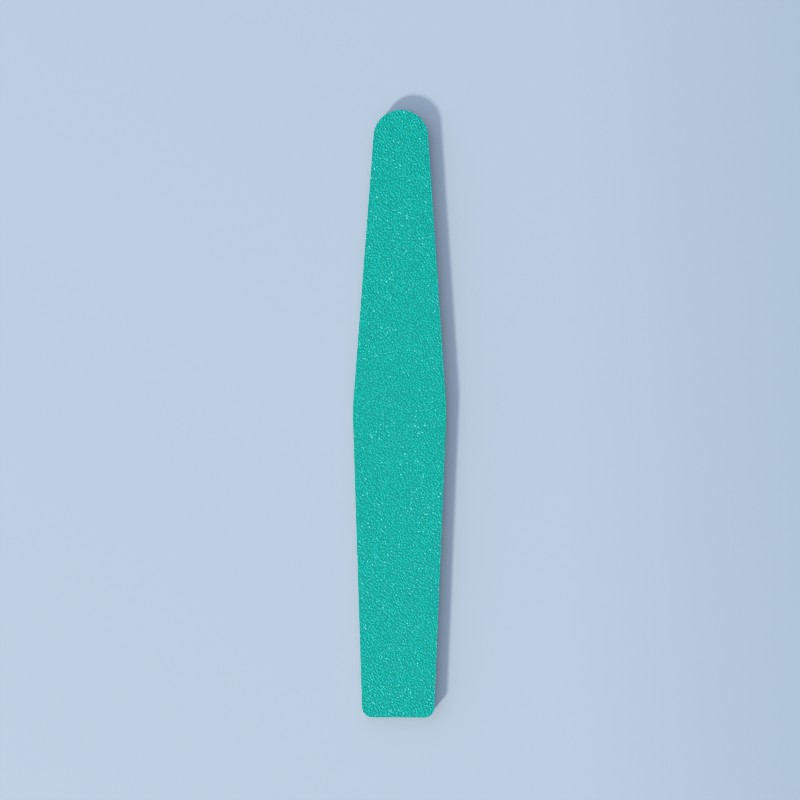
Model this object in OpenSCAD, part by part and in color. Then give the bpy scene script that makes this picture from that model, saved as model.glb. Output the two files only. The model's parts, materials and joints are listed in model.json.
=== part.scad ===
// Cushioned emery board: a stiff core between two foam pads, with abrasive paper on both faces.
// Every layer is die-cut to one outline. The board lies flat, its round nose towards +Y, and the
// origin is under its widest point, on the face that it rests on.

/* [Outline] */
// Overall length, from the round nose to the square butt
board_l = 178; // [120:1:200]
// Width at the belly, the widest point, half way along
belly_w = 27.3; // [22:0.1:36]
// Radius of the round nose
nose_r = 8; // [4:0.1:11]
// Width over the rounded corners of the butt
butt_w = 21.2; // [14:0.1:22]
// Radius of each corner of the butt
corner_r = 3; // [1:0.1:8]
// Radius that rounds each flank where it turns at the belly
flank_r = 60; // [5:1:200]

/* [Layers] */
// Thickness of the stiff plastic core
core_t = 0.8; // [0.4:0.05:2]
// Thickness of the adhesive film between the core and each foam pad
core_film_t = 0.08; // [0.04:0.01:0.2]
// Thickness of each foam pad
foam_t = 1.0; // [0.5:0.05:3]
// How far the cut edge of the foam springs back from the outline
foam_setback = 0.15; // [0:0.01:0.5]
// Thickness of the adhesive film between each foam pad and its abrasive paper
paper_film_t = 0.08; // [0.04:0.01:0.2]
// Thickness of each backing paper
paper_t = 0.2; // [0.1:0.01:0.4]
// Thickness of each grit coat: the grains and the resin that holds them
grit_t = 0.24; // [0.1:0.01:0.5]

/* [Hidden] */
$fn = 200;

// Colours
grit_colour = [0.12, 0.69, 0.65];
paper_colour = [0.90, 0.88, 0.82];
film_colour = [0.93, 0.90, 0.78];
foam_colour = [0.48, 0.49, 0.51];
core_colour = [0.86, 0.88, 0.90];

// Heights above the middle of the core, each the sum of the layers under it
core_top = core_t / 2;
core_film_top = core_top + core_film_t;
foam_top = core_film_top + foam_t;
paper_film_top = foam_top + paper_film_t;
paper_top = paper_film_top + paper_t;
grit_top = paper_top + grit_t;

// How far the straight stretches run inside the circles that they join, so that they cross cleanly
seam = 0.002;

// Centres of the circles that the outline runs round, on the right-hand side
corner_c = [butt_w / 2 - corner_r, corner_r - board_l / 2];
flank_c = [belly_w / 2 - flank_r, 0];
nose_c = [0, board_l / 2 - nose_r];

// Direction of the outward normal of the line that touches circles a and b on the right of the way from a to b
function tangent_normal(centre_a, r_a, centre_b, r_b) =
    let (way = centre_b - centre_a)
    atan2(way.y, way.x) - acos((r_a - r_b) / norm(way));

// Point of a circle in a direction
function on_circle(centre, r, direction) = centre + r * [cos(direction), sin(direction)];

// The same points on the other side of the board, in the opposite order
function mirrored(points) = [for (i = [len(points) - 1:-1:0]) [-points[i].x, points[i].y]];

// Directions that the straight stretches face: the butt, and each flank below and above the belly
butt_normal = -90;
lower_normal = tangent_normal(corner_c, corner_r, flank_c, flank_r);
upper_normal = tangent_normal(flank_c, flank_r, nose_c, nose_r);

// The straight stretches of the outline, which run inside the circles that they join by the seam
module straight_stretches(inset) {
    drawn_in = inset + seam;
    right_side = [
        on_circle(corner_c, corner_r - drawn_in, butt_normal),
        on_circle(corner_c, corner_r - drawn_in, lower_normal),
        on_circle(flank_c, flank_r - drawn_in, lower_normal),
        on_circle(flank_c, flank_r - drawn_in, upper_normal),
        on_circle(nose_c, nose_r - drawn_in, upper_normal)
    ];
    polygon(concat(right_side, mirrored(right_side)));
}

// The part of a flank's large circle that lies on its own side of the board
module flank_turn(inset) {
    intersection() {
        translate(flank_c) circle(r = flank_r - inset);
        translate([0, -board_l / 2]) square([belly_w, board_l]);
    }
}

// The outline that every layer is cut to, drawn in by inset all round
module outline(inset = 0) {
    straight_stretches(inset);
    translate(nose_c) circle(r = nose_r - inset);
    for (side = [0, 1]) mirror([side, 0]) {
        translate(corner_c) circle(r = corner_r - inset);
        flank_turn(inset);
    }
}

// One layer between two heights above the middle of the core
module layer(low, high, inset = 0) {
    translate([0, 0, low]) linear_extrude(high - low) outline(inset);
}

// Puts a layer of the upper half on the board's top face, or turns it over for the bottom face
module on_face(top) {
    translate([0, 0, grit_top]) mirror([0, 0, top ? 0 : 1]) children();
}

// The stiff plastic sheet that keeps the board straight
module core_board() {
    color(core_colour) on_face(top = true) layer(-core_top, core_top);
}

// Film that bonds a foam pad to the core
module core_adhesive(top) {
    color(film_colour) on_face(top) layer(core_top, core_film_top);
}

// Closed-cell foam that lets the paper follow a curved nail
module foam_pad(top) {
    color(foam_colour) on_face(top) layer(core_film_top, foam_top, foam_setback);
}

// Film that bonds the abrasive paper to its foam pad
module paper_adhesive(top) {
    color(film_colour) on_face(top) layer(foam_top, paper_film_top);
}

// Paper that carries the grit
module backing_paper(top) {
    color(paper_colour) on_face(top) layer(paper_film_top, paper_top);
}

// Grains in their coloured resin, out to the tips of the tallest
module grit_coat(top) {
    color(grit_colour) on_face(top) layer(paper_top, grit_top);
}

grit_coat(top = true);  // top_grit_coat
backing_paper(top = true);  // top_backing_paper
paper_adhesive(top = true);  // top_paper_adhesive
foam_pad(top = true);  // top_foam_pad
core_adhesive(top = true);  // top_core_adhesive
core_board();
core_adhesive(top = false);  // bottom_core_adhesive
foam_pad(top = false);  // bottom_foam_pad
paper_adhesive(top = false);  // bottom_paper_adhesive
backing_paper(top = false);  // bottom_backing_paper
grit_coat(top = false);  // bottom_grit_coat
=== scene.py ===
"""Finishes a cushioned emery board: abrasive faces, papers, glue lines, foam pads and core."""

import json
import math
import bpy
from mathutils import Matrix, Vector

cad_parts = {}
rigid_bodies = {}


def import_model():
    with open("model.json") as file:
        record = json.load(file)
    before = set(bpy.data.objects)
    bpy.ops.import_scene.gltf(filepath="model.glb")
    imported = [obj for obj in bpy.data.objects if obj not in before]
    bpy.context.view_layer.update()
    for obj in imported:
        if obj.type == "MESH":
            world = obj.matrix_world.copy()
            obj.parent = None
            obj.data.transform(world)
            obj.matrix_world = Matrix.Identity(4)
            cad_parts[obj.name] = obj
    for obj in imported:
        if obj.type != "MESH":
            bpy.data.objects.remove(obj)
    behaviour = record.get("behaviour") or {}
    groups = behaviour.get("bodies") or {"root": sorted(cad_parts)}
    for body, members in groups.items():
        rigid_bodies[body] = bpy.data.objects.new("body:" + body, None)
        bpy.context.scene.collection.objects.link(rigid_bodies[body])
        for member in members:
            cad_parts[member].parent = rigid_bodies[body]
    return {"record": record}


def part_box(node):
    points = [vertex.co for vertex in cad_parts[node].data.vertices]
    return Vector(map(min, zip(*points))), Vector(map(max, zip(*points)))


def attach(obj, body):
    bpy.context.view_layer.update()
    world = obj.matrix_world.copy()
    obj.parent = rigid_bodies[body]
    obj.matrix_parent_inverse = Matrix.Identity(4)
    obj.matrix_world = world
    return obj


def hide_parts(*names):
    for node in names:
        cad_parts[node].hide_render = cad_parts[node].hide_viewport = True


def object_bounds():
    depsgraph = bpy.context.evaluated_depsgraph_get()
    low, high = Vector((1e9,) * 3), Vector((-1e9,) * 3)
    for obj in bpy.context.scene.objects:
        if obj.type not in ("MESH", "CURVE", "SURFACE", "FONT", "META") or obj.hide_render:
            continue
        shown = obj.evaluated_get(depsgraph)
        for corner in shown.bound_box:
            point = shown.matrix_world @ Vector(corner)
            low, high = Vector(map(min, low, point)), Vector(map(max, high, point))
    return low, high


bl_info = {
    "name": "Cushioned Emery Board",
    "version": (1, 0, 0),
    "blender": (4, 5, 0),
    "location": "View3D > Sidebar > Emery Board",
    "description": "Models the faces, papers, glue lines, foam and core of a cushioned emery board",
    "category": "Object",
}

import bpy
from mathutils import Vector

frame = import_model()
cad_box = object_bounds()
core_low, core_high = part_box("core_board")
record_colours = {row["slot"]: tuple(row["base_color"]) for row in frame["record"]["materials"]}

MM = 0.001
FACES = ("top", "bottom")
# Nearly all values of a noise texture lie between these two
NOISE_RANGE = (0.3, 0.7)


class EmeryBoardSizes(bpy.types.PropertyGroup):
    """Sizes of the board's outline and of its grit, in metres"""

    board_length: bpy.props.FloatProperty(
        name="Board length",
        description="Overall length, from the round nose to the square butt",
        default=core_high.y - core_low.y,
        unit="LENGTH",
    )
    belly_width: bpy.props.FloatProperty(
        name="Belly width",
        description="Width at the widest point, half way along",
        default=core_high.x - core_low.x,
        unit="LENGTH",
    )
    butt_width: bpy.props.FloatProperty(
        name="Butt width",
        description="Width over the rounded corners of the butt",
        default=21.2 * MM,
        unit="LENGTH",
    )
    nose_radius: bpy.props.FloatProperty(
        name="Nose radius",
        description="Radius of the round nose",
        default=8 * MM,
        unit="LENGTH",
    )
    corner_radius: bpy.props.FloatProperty(
        name="Corner radius",
        description="Radius of each corner of the butt",
        default=3 * MM,
        unit="LENGTH",
    )
    flank_radius: bpy.props.FloatProperty(
        name="Flank radius",
        description="Radius that rounds each flank where it turns at the belly",
        default=60 * MM,
        unit="LENGTH",
    )
    facet: bpy.props.FloatProperty(
        name="Facet",
        description="Spacing of the points that make up the resin between the grains",
        default=0.24 * MM,
        unit="LENGTH",
    )
    coarse_grain: bpy.props.FloatProperty(
        name="Coarse grain",
        description="Width of a grain on the upper, coarse face",
        default=0.92 * MM,
        unit="LENGTH",
    )
    fine_grain: bpy.props.FloatProperty(
        name="Fine grain",
        description="Width of a grain on the lower, fine face",
        default=0.85 * MM,
        unit="LENGTH",
    )
    bed: bpy.props.FloatProperty(
        name="Bed",
        description="Share of a grit coat's thickness that the resin between the grains fills",
        default=0.12,
        min=0.1,
        max=0.9,
        subtype="FACTOR",
    )
    foam_setback: bpy.props.FloatProperty(
        name="Foam setback",
        description="How far the cut edge of the foam springs back from the outline",
        default=core_high.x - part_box("top_foam_pad")[1].x,
        unit="LENGTH",
    )


class EmeryBoardColours(bpy.types.PropertyGroup):
    """Colours of the board's materials and of the floor"""

    grit: bpy.props.FloatVectorProperty(
        name="Grit",
        description="Resin that colours the abrasive faces",
        subtype="COLOR",
        size=3,
        min=0,
        max=1,
        default=(0.0005, 0.474, 0.412),
    )
    # Paler tips of the grains: partly thin resin over pale grain, partly painted highlight
    grit_tip_and_highlight: bpy.props.FloatVectorProperty(
        name="Grit tips",
        description="Paler tips of the tallest grains",
        subtype="COLOR",
        size=3,
        min=0,
        max=1,
        default=(0.002, 0.69, 0.635),
    )
    mineral: bpy.props.FloatVectorProperty(
        name="Mineral",
        description="Bare tips of the few grains and crystals that the resin does not cover",
        subtype="COLOR",
        size=3,
        min=0,
        max=1,
        default=(0.20, 0.86, 0.82),
    )
    paper: bpy.props.FloatVectorProperty(
        name="Paper",
        description="Cut edge of the backing papers",
        subtype="COLOR",
        size=3,
        min=0,
        max=1,
        default=record_colours["backing_paper"],
    )
    glue: bpy.props.FloatVectorProperty(
        name="Glue",
        description="Adhesive films between the layers",
        subtype="COLOR",
        size=3,
        min=0,
        max=1,
        default=record_colours["adhesive_film"],
    )
    foam: bpy.props.FloatVectorProperty(
        name="Foam",
        description="Foam pads",
        subtype="COLOR",
        size=3,
        min=0,
        max=1,
        default=record_colours["foam"],
    )
    core: bpy.props.FloatVectorProperty(
        name="Core",
        description="Stiff plastic core",
        subtype="COLOR",
        size=3,
        min=0,
        max=1,
        default=record_colours["core_plastic"],
    )
    floor: bpy.props.FloatVectorProperty(
        name="Floor",
        description="Pale surface under the board",
        subtype="COLOR",
        size=3,
        min=0,
        max=1,
        default=(0.503, 0.617, 0.753),
    )


def deselect_all():
    """Returns to object mode with nothing selected."""
    if bpy.context.mode != "OBJECT":
        bpy.ops.object.mode_set(mode="OBJECT")
    bpy.ops.object.select_all(action="DESELECT")


def activate(piece):
    """Selects one piece alone."""
    deselect_all()
    piece.select_set(True)
    bpy.context.view_layer.objects.active = piece


def select_points(piece, wanted):
    """Enters edit mode with the points selected whose place passes the test."""
    activate(piece)
    bpy.ops.object.mode_set(mode="EDIT")
    bpy.ops.mesh.select_mode(type="VERT")
    bpy.ops.mesh.select_all(action="DESELECT")
    bpy.ops.object.mode_set(mode="OBJECT")
    for point in piece.data.vertices:
        point.select = wanted(point.co)
    bpy.ops.object.mode_set(mode="EDIT")


def apply_modifier(piece, kind, **settings):
    """Adds a modifier to a piece, sets it and applies it."""
    activate(piece)
    modifier = piece.modifiers.new(kind.lower(), kind)
    for name, value in settings.items():
        setattr(modifier, name, value)
    bpy.ops.object.modifier_apply(modifier=modifier.name)


def wear(piece, material):
    """Gives a piece one material all over."""
    piece.data.materials.clear()
    piece.data.materials.append(material)


def layer_heights(face, layer):
    """Heights of a layer's side towards the core and of its other side."""
    low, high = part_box(face + "_" + layer)
    return (low.z, high.z) if face == "top" else (high.z, low.z)


def grit_heights(face):
    """Heights of a grit coat's side towards the core, of the resin between its grains and of its tips."""
    inner, outer = layer_heights(face, "grit_coat")
    bed = inner + bpy.context.scene.emery_board_sizes.bed * (outer - inner)
    return inner, bed, outer


def tangent_direction(from_centre, from_radius, to_centre, to_radius):
    """Direction of the outward normal of the line that touches two circles on the right of the way."""
    way = to_centre - from_centre
    return math.atan2(way.y, way.x) - math.acos((from_radius - to_radius) / way.length)


def round_corners(piece, wanted, radius, turn, spacing):
    """Rounds the outline's corners that pass the test with arcs that touch both sides."""
    # How far towards the corner the arc's middle lies; a bevel's profile is the square of that
    middle = 1 - 1 / (2 * (1 + math.cos(turn / 2)))
    select_points(piece, wanted)
    bpy.ops.mesh.bevel(
        affect="VERTICES",
        offset_type="OFFSET",
        offset=radius * math.tan(turn / 2),
        segments=max(2, round(radius * turn / spacing)),
        profile=middle**2,
        clamp_overlap=False,
    )
    bpy.ops.object.mode_set(mode="OBJECT")


def divide_edges(piece, spacing):
    """Divides a ring of edges until none is much longer than the spacing."""
    most_cuts = 100
    nearly = 0.9
    while True:
        points = piece.data.vertices
        ends = [[points[index].co for index in edge.vertices] for edge in piece.data.edges]
        lengths = [(start - end).length for start, end in ends]
        longest = max(lengths)
        cuts = min(most_cuts, round(longest / spacing) - 1)
        if cuts < 1:
            return
        select_points(piece, lambda co: False)
        bpy.ops.mesh.select_mode(type="EDGE")
        bpy.ops.object.mode_set(mode="OBJECT")
        for edge, length in zip(piece.data.edges, lengths):
            edge.select = length > nearly * longest
        bpy.ops.object.mode_set(mode="EDIT")
        bpy.ops.mesh.subdivide(number_cuts=cuts)
        bpy.ops.object.mode_set(mode="OBJECT")


def outline_face(name, height, inset, spacing):
    """One flat face at a height with the board's outline, drawn in by inset all round."""
    sizes = bpy.context.scene.emery_board_sizes
    half_length = sizes.board_length / 2
    nose_radius = sizes.nose_radius - inset
    corner_radius = sizes.corner_radius - inset
    flank_radius = sizes.flank_radius - inset
    nose = Vector((0, half_length - sizes.nose_radius, 0))
    corner = Vector(
        (sizes.butt_width / 2 - sizes.corner_radius, sizes.corner_radius - half_length, 0)
    )
    flank = Vector((sizes.belly_width / 2 - sizes.flank_radius, 0, 0))
    lower = tangent_direction(corner, corner_radius, flank, flank_radius)
    upper = tangent_direction(flank, flank_radius, nose, nose_radius)

    deselect_all()
    bpy.ops.mesh.primitive_plane_add(size=sizes.board_length - 2 * inset)
    piece = bpy.context.object
    piece.name = piece.data.name = name
    bpy.ops.object.mode_set(mode="EDIT")
    for side in (1, -1):
        for direction in (lower, upper):
            outwards = Vector((side * math.cos(direction), math.sin(direction), 0))
            centre = Vector((side * flank.x, flank.y, 0))
            bpy.ops.mesh.select_all(action="SELECT")
            bpy.ops.mesh.bisect(
                plane_co=centre + flank_radius * outwards, plane_no=outwards, clear_outer=True
            )
    bpy.ops.object.mode_set(mode="OBJECT")
    quarter = half_length / 2
    round_corners(piece, lambda co: abs(co.y) < quarter, flank_radius, upper - lower, spacing)
    round_corners(piece, lambda co: co.y < -quarter, corner_radius, lower + math.pi / 2, spacing)
    round_corners(piece, lambda co: co.y > quarter, nose_radius, math.pi / 2 - upper, spacing)
    bpy.ops.object.mode_set(mode="EDIT")
    bpy.ops.mesh.select_all(action="SELECT")
    bpy.ops.mesh.remove_doubles(threshold=0.0001 * MM)
    bpy.ops.transform.translate(value=(0, 0, height))
    bpy.ops.object.mode_set(mode="OBJECT")
    return piece


def outline_prism(name, low, high, inset, spacing):
    """A closed block with the board's outline between two heights."""
    piece = outline_face(name, low, inset, spacing)
    bpy.ops.object.mode_set(mode="EDIT")
    bpy.ops.mesh.select_all(action="SELECT")
    bpy.ops.mesh.extrude_region_move(TRANSFORM_OT_translate={"value": (0, 0, high - low)})
    bpy.ops.mesh.select_all(action="SELECT")
    bpy.ops.mesh.normals_make_consistent(inside=False)
    bpy.ops.object.mode_set(mode="OBJECT")
    return piece


def sheet(name, node, inset, spacing, depths):
    """A closed sheet in a layer's place, its cut edge drawn in row by row, from the core outwards."""
    low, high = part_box(node)
    rows = len(depths) + 1
    step = (high.z - low.z) / rows
    if node.startswith("bottom"):
        depths = tuple(reversed(depths))
    piece = outline_face(name, low.z, inset, spacing)
    select_points(piece, lambda co: True)
    bpy.ops.mesh.delete(type="ONLY_FACE")
    bpy.ops.object.mode_set(mode="OBJECT")
    divide_edges(piece, spacing)
    select_points(piece, lambda co: True)
    bpy.ops.mesh.edge_face_add()
    for _ in range(rows):
        bpy.ops.mesh.extrude_region_move(TRANSFORM_OT_translate={"value": (0, 0, step)})
    bpy.ops.mesh.select_all(action="SELECT")
    bpy.ops.mesh.normals_make_consistent(inside=False)
    bpy.ops.object.mode_set(mode="OBJECT")
    edge = piece.vertex_groups.new(name="edge")
    drawn_in = piece.vertex_groups.new(name="drawn_in")
    deepest = max(depths)
    for point in piece.data.vertices:
        row = round((point.co.z - low.z) / step)
        if 0 < row < rows:
            edge.add([point.index], 1, "REPLACE")
            drawn_in.add([point.index], depths[row - 1] / deepest, "REPLACE")
    apply_modifier(
        piece,
        "DISPLACE",
        direction="NORMAL",
        strength=-deepest,
        mid_level=0,
        vertex_group="drawn_in",
    )
    return piece


def pit_edge(piece, kind, scale, depth):
    """Pits a sheet's cut edge to a depth, which leaves its two faces flat."""
    texture = bpy.data.textures.new(piece.name + "_pits", kind)
    texture.noise_scale = scale
    apply_modifier(
        piece,
        "DISPLACE",
        texture=texture,
        texture_coords="LOCAL",
        direction="NORMAL",
        strength=depth,
        mid_level=1,
        vertex_group="edge",
    )


def finish_layer(piece, node, material):
    """Gives a layer's piece its material and its place in the board."""
    activate(piece)
    bpy.ops.object.shade_smooth_by_angle(angle=math.radians(50))
    wear(piece, material)
    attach(piece, "root")
    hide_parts(node)


def cut_to_outline(piece, low, high, inset):
    """Keeps what lies inside the board's outline, drawn in by inset, between two heights."""
    die = outline_prism("die", low, high, inset, spacing=0.2 * MM)
    apply_modifier(piece, "BOOLEAN", operation="INTERSECT", object=die, solver="MANIFOLD")
    bpy.data.objects.remove(die)


def stretch_to(piece, inner, outer):
    """Scales a piece's height about inner so that its furthest point just reaches outer."""
    reach = math.copysign(1, outer - inner)
    peak = max(reach * (point.co.z - inner) for point in piece.data.vertices)
    select_points(piece, lambda co: True)
    bpy.ops.transform.resize(
        value=(1, 1, abs(outer - inner) / peak), center_override=(0, 0, inner)
    )
    deselect_all()


def feed(tree, node, inputs):
    """Sets a node's inputs, each to a number, a colour or another node's socket."""
    for socket, value in inputs.items():
        if isinstance(value, bpy.types.NodeSocket):
            tree.links.new(value, node.inputs[socket])
        else:
            node.inputs[socket].default_value = value


def add_node(tree, kind, inputs=None, **settings):
    """Adds a node with its settings and its inputs."""
    node = tree.nodes.new(kind)
    for name, value in settings.items():
        setattr(node, name, value)
    feed(tree, node, inputs or {})
    return node


def new_material(name):
    """A new material, its tree, its surface shader and the place of the point that it shades."""
    material = bpy.data.materials.new(name)
    material.use_nodes = True
    tree = material.node_tree
    place = add_node(tree, "ShaderNodeTexCoord").outputs["Object"]
    return material, tree, tree.nodes["Principled BSDF"], place


def shade(colour, factor):
    """A colour made lighter or darker."""
    return tuple(min(1, channel * factor) for channel in colour)


def spread(tree, value, old, new):
    """A value moved from its old range to a new one, and held within that."""
    return add_node(
        tree,
        "ShaderNodeMapRange",
        {
            "Value": value,
            "From Min": old[0],
            "From Max": old[1],
            "To Min": new[0],
            "To Max": new[1],
        },
    ).outputs["Result"]


def times(tree, colour, factor):
    """A colour multiplied by a number or by another colour."""
    return add_node(
        tree, "ShaderNodeVectorMath", {0: colour, 1: factor}, operation="MULTIPLY"
    ).outputs["Vector"]


def mix(tree, share, first, second):
    """A first colour that turns into a second one as the share goes from 0 to 1."""
    # Sockets 6 and 7 take the colours, and 2 gives the mixed one
    return add_node(
        tree,
        "ShaderNodeMix",
        {"Factor": share, 6: first, 7: (*second, 1)},
        data_type="RGBA",
    ).outputs[2]


def colour_steps(tree, factor, steps):
    """A colour ramp through (position, colour) steps."""
    ramp = add_node(tree, "ShaderNodeValToRGB", {"Fac": factor})
    elements = ramp.color_ramp.elements
    while len(elements) < len(steps):
        elements.new(1)
    for element, (position, colour) in zip(elements, steps):
        element.position = position
        element.color = (*colour, 1)
    return ramp.outputs["Color"]


def layer_share(tree, place, face, layer):
    """How far a point lies from a layer's side towards the core, 0, to its other side, 1."""
    height = add_node(tree, "ShaderNodeSeparateXYZ", {"Vector": place}).outputs["Z"]
    return spread(tree, height, layer_heights(face, layer), (0, 1))


def noise(tree, place, across, upright=None):
    """Noise whose grain has one size across the board and may have another from face to face."""
    sizes = (across, across, upright or across)
    stretched = times(tree, place, tuple(1 / size for size in sizes))
    return add_node(
        tree, "ShaderNodeTexNoise", {"Vector": stretched, "Scale": 1.0, "Detail": 2.0}
    ).outputs["Fac"]


def bump(tree, shader, height, distance):
    """Lets a texture stand out of a surface by a distance."""
    normal = add_node(
        tree, "ShaderNodeBump", {"Height": height, "Strength": 1.0, "Distance": distance}
    ).outputs["Normal"]
    feed(tree, shader, {"Normal": normal})


class EMERY_OT_grit_faces(bpy.types.Operator):
    """Model the resin of the coarse and of the fine abrasive face"""

    bl_idname = "emery.grit_faces"
    bl_label = "Grit Faces"

    def execute(self, context):
        for face in FACES:
            piece = self.resin(context, face)
            wear(piece, self.material(context, face))
            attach(piece, "root")
            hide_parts(face + "_grit_coat")
        return {"FINISHED"}

    def resin(self, context, face):
        """A closed sheet on the paper whose outer side is crumpled."""
        sizes = context.scene.emery_board_sizes
        inner, bed, outer = grit_heights(face)
        reach = math.copysign(1, outer - inner)
        spare_squares = 4
        columns = math.ceil(sizes.belly_width / sizes.facet) + spare_squares
        rows = math.ceil(sizes.board_length / sizes.facet) + spare_squares
        deselect_all()
        bpy.ops.mesh.primitive_grid_add(
            x_subdivisions=columns, y_subdivisions=rows, size=1, location=(0, 0, bed)
        )
        piece = context.object
        piece.name = piece.data.name = face + "_grit_face"
        piece.scale = (columns * sizes.facet, rows * sizes.facet, 1)
        bpy.ops.object.transform_apply(location=True, rotation=True, scale=True)
        bpy.ops.object.mode_set(mode="EDIT")
        bpy.ops.mesh.select_mode(type="EDGE")
        bpy.ops.mesh.select_all(action="DESELECT")
        bpy.ops.mesh.select_non_manifold()
        bpy.ops.mesh.extrude_edges_move(TRANSFORM_OT_translate={"value": (0, 0, inner - bed)})
        bpy.ops.mesh.edge_face_add()
        bpy.ops.mesh.select_all(action="SELECT")
        bpy.ops.mesh.normals_make_consistent(inside=False)
        cut_to_outline(piece, cad_box[0].z - MM, cad_box[1].z + MM, inset=0)

        middle = (inner + bed) / 2
        select_points(piece, lambda co: (co.z - middle) * reach > 0)
        bpy.ops.object.vertex_group_add()
        bpy.ops.object.vertex_group_assign()
        bpy.ops.object.mode_set(mode="OBJECT")
        outer_side = piece.vertex_groups[0].name
        for scale, strength in ((1.1 * MM, 0.02 * MM), (0.5 * MM, 0.03 * MM)):
            crumple = bpy.data.textures.new("crumple", "CLOUDS")
            crumple.noise_scale = scale
            apply_modifier(
                piece,
                "DISPLACE",
                texture=crumple,
                texture_coords="LOCAL",
                direction="Z",
                strength=reach * strength,
                mid_level=0.5,
                vertex_group=outer_side,
            )
        deselect_all()
        return piece

    def material(self, context, face):
        """Pigmented resin, with painted shade that darkens it in the hollows."""
        colours = context.scene.emery_board_colours
        material, tree, shader, place = new_material(face + "_resin")
        level = layer_share(tree, place, face, "grit_coat")
        # Painted shade: the resin is darkened to 0.8 of its colour low in the hollows, towards the paper
        body = colour_steps(tree, level, [(0, shade(colours.grit, 0.8)), (0.3, colours.grit)])
        bump(tree, shader, noise(tree, place, 0.5 * MM), distance=0.18 * MM)
        feed(tree, shader, {"Base Color": body, "Roughness": 0.4, "Specular IOR Level": 0.25})
        return material


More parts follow.
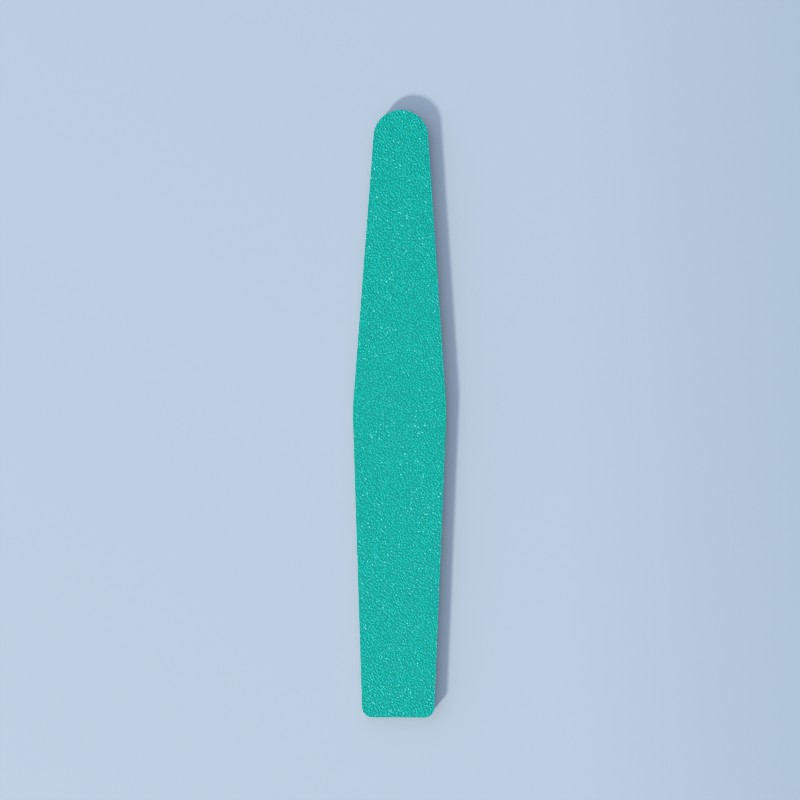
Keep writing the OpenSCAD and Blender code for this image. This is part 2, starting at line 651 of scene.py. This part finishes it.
class EMERY_OT_grains(bpy.types.Operator):
    """Scatter the grains and the sharp crystals between them over both abrasive faces"""

    bl_idname = "emery.grains"
    bl_label = "Grains"

    crystal_width: bpy.props.FloatProperty(
        name="Crystal width",
        description="Width of a crystal as a share of a grain's",
        default=0.42,
        min=0,
        max=1,
        subtype="FACTOR",
    )
    bareness: bpy.props.FloatProperty(
        name="Bareness",
        description="Share of the crystals whose tip is bare mineral; for grains it is a fifth of this",
        default=0.3,
        min=0,
        max=1,
        subtype="FACTOR",
    )

    def execute(self, context):
        sizes = context.scene.emery_board_sizes
        for face, width in zip(FACES, (sizes.coarse_grain, sizes.fine_grain)):
            spot = 0.55 * width
            coated = self.material(context, face + "_grains", spot, self.bareness / 5)
            grains = self.crushed_grains(width, count=8)
            self.strew(face + "_grains", grains, coated, spacing=0.71 * width, seed=5)
            bare = self.material(context, face + "_crystals", spot, self.bareness)
            crystals = self.crystals(self.crystal_width * width, count=8)
            self.strew(face + "_crystals", crystals, bare, spacing=0.7 * width, seed=11)
        return {"FINISHED"}

    def strew(self, name, shapes, material, spacing, seed):
        """One piece of many shapes, dropped on the resin of a face and cut to the outline."""
        face = name.split("_")[0]
        inner, bed, outer = grit_heights(face)
        reach = math.copysign(1, outer - inner)
        piece = outline_face(name, bed, inset=0, spacing=MM)
        self.scatter(piece, shapes, spacing, reach, seed)
        for shape in list(shapes.objects):
            bpy.data.objects.remove(shape)
        bpy.data.collections.remove(shapes)
        stretch_to(piece, bed, outer)
        over_paper = 0.02 * MM
        over_tips = MM
        low, high = sorted((inner + reach * over_paper, outer + reach * over_tips))
        cut_to_outline(piece, low, high, inset=0.01 * MM)
        wear(piece, material)
        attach(piece, "root")

    def crushed_grains(self, width, count):
        """Flat crushed grains of one width, each of its own shape."""
        shapes = bpy.data.collections.new("grains")
        for number in range(count):
            deselect_all()
            bpy.ops.mesh.primitive_ico_sphere_add(subdivisions=1, radius=width / 2)
            self.crush(shapes, jitter=0.13 * width, stretch=(1.22, 0.74, 0.5), seed=number)
        return shapes

    def crystals(self, width, count):
        """Sharp splinters of one width, each of its own shape."""
        shapes = bpy.data.collections.new("crystals")
        for number in range(count):
            deselect_all()
            bpy.ops.mesh.primitive_cone_add(
                vertices=5, radius1=width / 2, depth=width, location=(0, 0, 0.3 * width)
            )
            self.crush(shapes, jitter=0.12 * width, stretch=(1.1, 0.85, 1), seed=number)
        return shapes

    def crush(self, shapes, jitter, stretch, seed):
        """Makes the active shape uneven and moves it into the collection."""
        shape = bpy.context.object
        bpy.ops.object.mode_set(mode="EDIT")
        bpy.ops.mesh.select_all(action="SELECT")
        bpy.ops.transform.vertex_random(offset=jitter, uniform=1, seed=seed)
        bpy.ops.transform.resize(value=stretch, center_override=(0, 0, 0))
        bpy.ops.object.mode_set(mode="OBJECT")
        bpy.ops.object.transform_apply(location=True, rotation=True, scale=True)
        for holder in shape.users_collection:
            holder.objects.unlink(shape)
        shapes.objects.link(shape)

    def scatter(self, piece, shapes, spacing, reach, seed):
        """Turns a flat piece into shapes dropped at random, their long sides roughly one way."""
        # The way that the long sides lie, how far they stray from it, and the tilt, in radians
        lay = math.radians(-55)
        stray = 0.5
        tilt = 0.3
        turned_over = 0 if reach > 0 else math.pi
        # Points tried in each square of the spacing, before the ones too close are dropped
        crowding = 4.5
        group = bpy.data.node_groups.new("scatter", "GeometryNodeTree")
        for direction in ("INPUT", "OUTPUT"):
            group.interface.new_socket(
                "Geometry", in_out=direction, socket_type="NodeSocketGeometry"
            )
        drops = add_node(
            group,
            "GeometryNodeDistributePointsOnFaces",
            {
                "Mesh": add_node(group, "NodeGroupInput").outputs[0],
                "Distance Min": spacing,
                "Density Max": crowding / spacing**2,
                "Seed": seed,
            },
            distribute_method="POISSON",
        )
        turn = add_node(
            group,
            "FunctionNodeRandomValue",
            {
                "Min": (turned_over - tilt, -tilt, lay - stray),
                "Max": (turned_over + tilt, tilt, lay + stray),
                "Seed": seed + 1,
            },
            data_type="FLOAT_VECTOR",
        )
        scale = add_node(
            group,
            "FunctionNodeRandomValue",
            {"Min": (0.8, 0.8, 0.8), "Max": (1.2, 1.2, 1.1), "Seed": seed + 2},
            data_type="FLOAT_VECTOR",
        )
        chosen = add_node(
            group,
            "GeometryNodeCollectionInfo",
            {"Collection": shapes, "Separate Children": True, "Reset Children": True},
        )
        dropped = add_node(
            group,
            "GeometryNodeInstanceOnPoints",
            {
                "Points": drops.outputs["Points"],
                "Instance": chosen.outputs[0],
                "Pick Instance": True,
                "Rotation": turn.outputs[0],
                "Scale": scale.outputs[0],
            },
        )
        real = add_node(group, "GeometryNodeRealizeInstances", {"Geometry": dropped.outputs[0]})
        add_node(group, "NodeGroupOutput", {0: real.outputs[0]})
        apply_modifier(piece, "NODES", node_group=group)

    def material(self, context, name, spot, bareness):
        """Resin-coated grains, paler towards their tips, partly from thin resin over pale grain and
        partly as painted highlight; a share of the tips is bare mineral.
        """
        colours = context.scene.emery_board_colours
        material, tree, shader, place = new_material(name)
        level = layer_share(tree, place, name.split("_")[0], "grit_coat")
        cell = add_node(
            tree, "ShaderNodeTexVoronoi", {"Vector": place, "Scale": 1 / spot}
        ).outputs["Color"]
        draw = add_node(tree, "ShaderNodeSeparateColor", {"Color": cell}).outputs["Red"]
        # Paler towards the tips: partly thin resin over pale grain, partly painted highlight
        body = colour_steps(tree, level, [(0.08, colours.grit), (1.0, colours.grit_tip_and_highlight)])
        body = times(tree, body, spread(tree, draw, (0, 1), (0.95, 1.05)))
        chosen = spread(tree, draw, (1 - bareness, 1.01 - bareness), (0, 1))
        tip = spread(tree, level, (0.35, 0.6), (0, 1))
        bare = add_node(
            tree, "ShaderNodeMath", {0: chosen, 1: tip}, operation="MULTIPLY"
        ).outputs["Value"]
        body = mix(tree, bare, body, colours.mineral)
        roughness = spread(tree, bare, (0, 1), (0.32, 0.16))
        bump(tree, shader, noise(tree, place, 0.42 * MM), distance=0.16 * MM)
        feed(
            tree,
            shader,
            {"Base Color": body, "Roughness": roughness, "Specular IOR Level": 0.25},
        )
        return material


class EMERY_OT_papers(bpy.types.Operator):
    """Model the two papers that carry the grit, with their fibrous cut edge"""

    bl_idname = "emery.papers"
    bl_label = "Backing Papers"

    def execute(self, context):
        depths = (0.01 * MM, 0.02 * MM, 0.01 * MM)
        for face in FACES:
            node = face + "_backing_paper"
            piece = sheet(face + "_paper", node, inset=0, spacing=0.15 * MM, depths=depths)
            pit_edge(piece, "CLOUDS", scale=0.3 * MM, depth=0.05 * MM)
            finish_layer(piece, node, self.material(context, face))
        return {"FINISHED"}

    def material(self, context, face):
        """Pulp in thin layers, stained by the resin on the side that carries the grit."""
        colours = context.scene.emery_board_colours
        material, tree, shader, place = new_material(face + "_paper")
        fibres = noise(tree, place, across=0.6 * MM, upright=0.04 * MM)
        blots = noise(tree, place, 0.5 * MM)
        level = layer_share(tree, place, face, "backing_paper")
        soaked = add_node(
            tree, "ShaderNodeMath", {0: blots, 1: 0.5, 2: level}, operation="MULTIPLY_ADD"
        ).outputs[0]
        body = colour_steps(tree, soaked, [(0.98, colours.paper), (1, shade(colours.grit, 0.8))])
        body = times(tree, body, spread(tree, fibres, NOISE_RANGE, (0.86, 1.06)))
        bump(tree, shader, fibres, distance=0.03 * MM)
        feed(tree, shader, {"Base Color": body, "Roughness": 0.92, "Specular IOR Level": 0.2})
        return material


class EMERY_OT_glue_lines(bpy.types.Operator):
    """Model the four adhesive films, whose edge is uneven where the glue shrank back"""

    bl_idname = "emery.glue_lines"
    bl_label = "Glue Lines"

    def execute(self, context):
        material = self.material(context)
        depths = (0.02 * MM,)
        for face in FACES:
            for film in ("paper", "core"):
                name = face + "_" + film + "_glue"
                node = face + "_" + film + "_adhesive"
                piece = sheet(name, node, inset=0, spacing=0.2 * MM, depths=depths)
                pit_edge(piece, "CLOUDS", scale=1.6 * MM, depth=0.12 * MM)
                finish_layer(piece, node, material)
        return {"FINISHED"}

    def material(self, context):
        """Dried clear glue with a yellowish cast, thicker and darker in places."""
        colours = context.scene.emery_board_colours
        material, tree, shader, place = new_material("glue")
        pools = noise(tree, place, 1.2 * MM)
        body = times(tree, tuple(colours.glue), spread(tree, pools, NOISE_RANGE, (0.8, 1.05)))
        roughness = spread(tree, pools, NOISE_RANGE, (0.45, 0.25))
        bump(tree, shader, noise(tree, place, 0.2 * MM), distance=0.02 * MM)
        feed(
            tree,
            shader,
            {"Base Color": body, "Roughness": roughness, "Specular IOR Level": 0.5},
        )
        return material


class EMERY_OT_foam_pads(bpy.types.Operator):
    """Model the two foam pads, whose cut edge is hollow and pitted with open cells"""

    bl_idname = "emery.foam_pads"
    bl_label = "Foam Pads"

    hollow: bpy.props.FloatProperty(
        name="Hollow",
        description="Depth of the hollow of the cut edge",
        default=0.09 * MM,
        unit="LENGTH",
    )
    cell: bpy.props.FloatProperty(
        name="Cell",
        description="Width of a cell that the cut has opened",
        default=0.26 * MM,
        unit="LENGTH",
    )

    def execute(self, context):
        inset = context.scene.emery_board_sizes.foam_setback
        rows = 10
        depths = tuple(self.hollow * math.sin(math.pi * row / rows) for row in range(1, rows))
        for face in FACES:
            node = face + "_foam_pad"
            piece = sheet(face + "_foam", node, inset, spacing=0.1 * MM, depths=depths)
            pit_edge(piece, "VORONOI", scale=self.cell, depth=0.1 * MM)
            finish_layer(piece, node, self.material(context, face))
        return {"FINISHED"}

    def material(self, context, face):
        """Closed-cell foam: painted shade darkens the cut cells and painted highlight lightens the cell
        walls round them.
        """
        colours = context.scene.emery_board_colours
        material, tree, shader, place = new_material(face + "_foam")
        closed_cell = 0.6 * self.cell
        cells = add_node(
            tree, "ShaderNodeTexVoronoi", {"Vector": place, "Scale": 1 / closed_cell}
        ).outputs["Distance"]
        # Painted shade at the bottom of each cut cell and painted highlight on the raised walls between
        # them
        body = colour_steps(
            tree,
            cells,
            [
                (0.0, shade(colours.foam, 0.6)),
                (0.4, colours.foam),
                (0.8, shade(colours.foam, 1.35)),
            ],
        )
        patches = spread(tree, noise(tree, place, 3 * MM), NOISE_RANGE, (0.94, 1.06))
        body = times(tree, body, patches)
        bump(tree, shader, cells, distance=0.06 * MM)
        feed(tree, shader, {"Base Color": body, "Roughness": 0.85, "Specular IOR Level": 0.25})
        return material


class EMERY_OT_core(bpy.types.Operator):
    """Model the stiff plastic core, with the shear marks of the die on its edge"""

    bl_idname = "emery.core"
    bl_label = "Core"

    def execute(self, context):
        # Depth of the die's marks in millimetres, row by row from the core's lower side
        marks = (0.004, 0.006, 0.012, 0.03, 0.04, 0.035, 0.02)
        depths = tuple(mark * MM for mark in marks)
        piece = sheet("core", "core_board", inset=0, spacing=0.12 * MM, depths=depths)
        pit_edge(piece, "CLOUDS", scale=0.45 * MM, depth=0.03 * MM)
        finish_layer(piece, "core_board", self.material(context))
        return {"FINISHED"}

    def material(self, context):
        """Pale plastic, scored from face to face where the die sheared it."""
        colours = context.scene.emery_board_colours
        material, tree, shader, place = new_material("core")
        scores = noise(tree, place, across=0.14 * MM, upright=2.5 * MM)
        body = times(tree, tuple(colours.core), spread(tree, scores, NOISE_RANGE, (0.93, 1.03)))
        roughness = spread(tree, scores, NOISE_RANGE, (0.55, 0.35))
        bump(tree, shader, scores, distance=0.03 * MM)
        feed(
            tree,
            shader,
            {"Base Color": body, "Roughness": roughness, "Specular IOR Level": 0.4},
        )
        return material


class EMERY_OT_stage(bpy.types.Operator):
    """Lay the floor and set up the camera and the lights"""

    bl_idname = "emery.stage"
    bl_label = "Stage"

    photo_scale: bpy.props.FloatProperty(
        name="Photo scale", description="Pixels per metre on the upper face", default=3414.5
    )

    def execute(self, context):
        # Shares of the light on a level surface, which add up to 1 in each channel
        key = (0.415, 0.37, 0.30)
        fill = (0.585, 0.63, 0.70)
        self.floor(context)
        self.camera(context)
        self.key_lamp(context, key)
        self.fill_light(context, fill)
        context.scene.view_settings.view_transform = "Standard"
        context.scene.cycles.filter_width = 0.8
        return {"FINISHED"}

    def floor(self, context):
        """A plain pale surface at the height that the board rests on, with painted shade that makes it a
        little darker to the right.
        """
        colours = context.scene.emery_board_colours
        # Painted shade: the floor's colour is dimmed by these shares towards the right
        dimming = (0.885, 0.91, 0.92)
        dim = [channel * share for channel, share in zip(colours.floor, dimming)]
        deselect_all()
        bpy.ops.mesh.primitive_plane_add(size=6)
        floor = context.object
        floor.name = "floor"
        material, tree, shader, place = new_material("floor")
        across = add_node(tree, "ShaderNodeSeparateXYZ", {"Vector": place}).outputs["X"]
        right = spread(tree, across, (50 * MM, 120 * MM), (0, 1))
        surface = colour_steps(tree, right, [(0, colours.floor), (1, dim)])
        feed(tree, shader, {"Base Color": surface, "Roughness": 1, "Specular IOR Level": 0})
        wear(floor, material)

    def camera(self, context):
        """The camera looks straight down."""
        frame_pixels = 800
        lens, sensor = 100 * MM, 36 * MM
        aside, along = 0.1 * MM, 4.0 * MM
        turn = math.radians(0.26)
        width = frame_pixels / self.photo_scale
        distance = width * lens / sensor
        face_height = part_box("top_grit_coat")[1].z
        deselect_all()
        bpy.ops.object.camera_add(
            location=(aside, along, face_height + distance), rotation=(0, 0, turn)
        )
        camera = context.object
        camera.name = "camera"
        camera.data.lens = lens / MM
        camera.data.sensor_width = sensor / MM
        context.scene.camera = camera

    def key_lamp(self, context, share):
        """One soft lamp low on the butt's left, which gives a level surface its share of light."""
        distance, width = 5.0, 0.62
        elevation = math.radians(31.6)
        aside = Vector((-0.625, -0.78, 0)).normalized()
        towards = aside * math.cos(elevation)
        towards.z = math.sin(elevation)
        deselect_all()
        bpy.ops.object.light_add(type="AREA", location=distance * towards)
        lamp = context.object
        lamp.name = "key_lamp"
        lamp.rotation_mode = "QUATERNION"
        lamp.rotation_quaternion = towards.to_track_quat("Z", "Y")
        lamp.data.shape = "DISK"
        lamp.data.size = width
        lamp.data.color = [channel / share[0] for channel in share]
        lamp.data.energy = share[0] * (math.pi * distance) ** 2 / towards.z

    def fill_light(self, context, share):
        """Bluish light from all round, stronger from the left; the camera sees the floor's colour."""
        lean = Vector((-0.55, 0.2, 0))
        world = bpy.data.worlds.new("fill")
        world.use_nodes = True
        world.cycles_visibility.glossy = False
        context.scene.world = world
        tree = world.node_tree
        way = add_node(tree, "ShaderNodeTexCoord").outputs["Generated"]
        slope = add_node(
            tree, "ShaderNodeVectorMath", {0: way, 1: lean}, operation="DOT_PRODUCT"
        ).outputs["Value"]
        strength = add_node(tree, "ShaderNodeMath", {0: slope, 1: 1.0}, operation="ADD").outputs[0]
        light = times(tree, share, strength)
        seen = add_node(tree, "ShaderNodeLightPath").outputs["Is Camera Ray"]
        sky = mix(tree, seen, light, context.scene.emery_board_colours.floor)
        feed(tree, tree.nodes["Background"], {"Color": sky})


PIECES = (
    EMERY_OT_grit_faces,
    EMERY_OT_grains,
    EMERY_OT_papers,
    EMERY_OT_glue_lines,
    EMERY_OT_foam_pads,
    EMERY_OT_core,
    EMERY_OT_stage,
)


class EMERY_PT_pieces(bpy.types.Panel):
    """The board's pieces from the faces to the core, and the sizes and colours they share"""

    bl_label = "Emery Board"
    bl_space_type = "VIEW_3D"
    bl_region_type = "UI"
    bl_category = "Emery Board"

    def draw(self, context):
        for piece in PIECES:
            self.layout.operator(piece.bl_idname)
        shared = (context.scene.emery_board_sizes, context.scene.emery_board_colours)
        for group in shared:
            box = self.layout.box()
            for name in group.__annotations__:
                box.prop(group, name)


CLASSES = (EmeryBoardSizes, EmeryBoardColours, *PIECES, EMERY_PT_pieces)


def register():
    """Adds the board's tools, and gives each scene its sizes and colours."""
    for cls in CLASSES:
        bpy.utils.register_class(cls)
    bpy.types.Scene.emery_board_sizes = bpy.props.PointerProperty(type=EmeryBoardSizes)
    bpy.types.Scene.emery_board_colours = bpy.props.PointerProperty(type=EmeryBoardColours)


def unregister():
    """Takes away what register adds."""
    del bpy.types.Scene.emery_board_colours
    del bpy.types.Scene.emery_board_sizes
    for cls in reversed(CLASSES):
        bpy.utils.unregister_class(cls)


def main():
    """Makes every piece and the stage."""
    register()
    bpy.ops.emery.grit_faces()
    bpy.ops.emery.grains()
    bpy.ops.emery.papers()
    bpy.ops.emery.glue_lines()
    bpy.ops.emery.foam_pads()
    bpy.ops.emery.core()
    bpy.ops.emery.stage()


if __name__ == "__main__":
    main()
